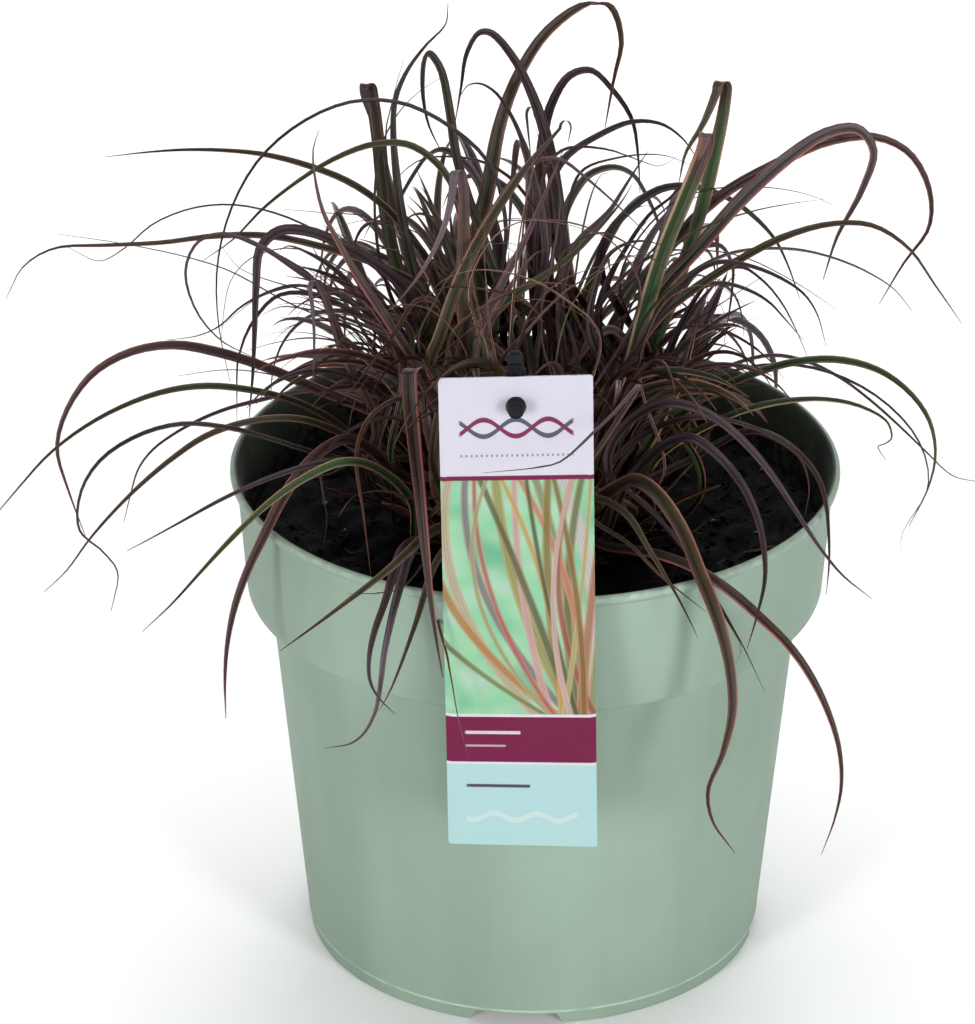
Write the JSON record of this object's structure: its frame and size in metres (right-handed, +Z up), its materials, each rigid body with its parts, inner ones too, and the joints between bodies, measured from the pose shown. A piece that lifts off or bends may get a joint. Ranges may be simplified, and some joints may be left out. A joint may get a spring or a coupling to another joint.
{
  "type": "potted ornamental sedge",
  "caption": "Tufted sedge with long arching red-brown leaves in a round plastic nursery pot, with a hanging plant tag on a stake.",
  "frame": {"origin": "middle of the pot's underside, on the plane that the pot stands on", "axes": "+Z up along the pot's axis, -Y towards the side where the tag hangs"},
  "size_m": [0.3089, 0.2592, 0.293],
  "materials": {
    "pot": "sage green moulded plastic, satin",
    "soil": "dark moist peat",
    "crown": "dull leaf sheaths",
    "tag": "printed plastic card, satin",
    "stake": "black moulded plastic",
    "leaf": "satin leaf, red-brown with lighter margins"
  },
  "bodies": {
    "root": {"crown": "crown", "leaf_back_1": "leaf", "leaf_back_2": "leaf", "leaf_back_3": "leaf", "leaf_back_4": "leaf", "leaf_centre_1": "leaf", "leaf_lower_left_1": "leaf", "leaf_lower_left_10": "leaf", "leaf_lower_left_11": "leaf", "leaf_lower_left_12": "leaf", "leaf_lower_left_13": "leaf", "leaf_lower_left_2": "leaf", "leaf_lower_left_3": "leaf", "leaf_lower_left_4": "leaf", "leaf_lower_left_5": "leaf", "leaf_lower_left_6": "leaf", "leaf_lower_left_7": "leaf", "leaf_lower_left_8": "leaf", "leaf_lower_left_9": "leaf", "leaf_lower_right_1": "leaf", "leaf_lower_right_10": "leaf", "leaf_lower_right_2": "leaf", "leaf_lower_right_3": "leaf", "leaf_lower_right_4": "leaf", "leaf_lower_right_5": "leaf", "leaf_lower_right_6": "leaf", "leaf_lower_right_7": "leaf", "leaf_lower_right_8": "leaf", "leaf_lower_right_9": "leaf", "leaf_right_1": "leaf", "leaf_right_2": "leaf", "leaf_right_3": "leaf", "leaf_right_4": "leaf", "leaf_right_5": "leaf", "leaf_right_6": "leaf", "leaf_right_7": "leaf", "leaf_right_8": "leaf", "leaf_right_9": "leaf", "leaf_top_1": "leaf", "leaf_top_2": "leaf", "leaf_top_3": "leaf", "leaf_top_4": "leaf", "leaf_top_5": "leaf", "leaf_top_6": "leaf", "leaf_top_7": "leaf", "leaf_upper_left_1": "leaf", "leaf_upper_left_10": "leaf", "leaf_upper_left_11": "leaf", "leaf_upper_left_2": "leaf", "leaf_upper_left_3": "leaf", "leaf_upper_left_4": "leaf", "leaf_upper_left_5": "leaf", "leaf_upper_left_6": "leaf", "leaf_upper_left_7": "leaf", "leaf_upper_left_8": "leaf", "leaf_upper_left_9": "leaf", "pot": "pot", "soil": "soil", "tag": "tag", "tag_stake": "stake"}
  },
  "joints": []
}
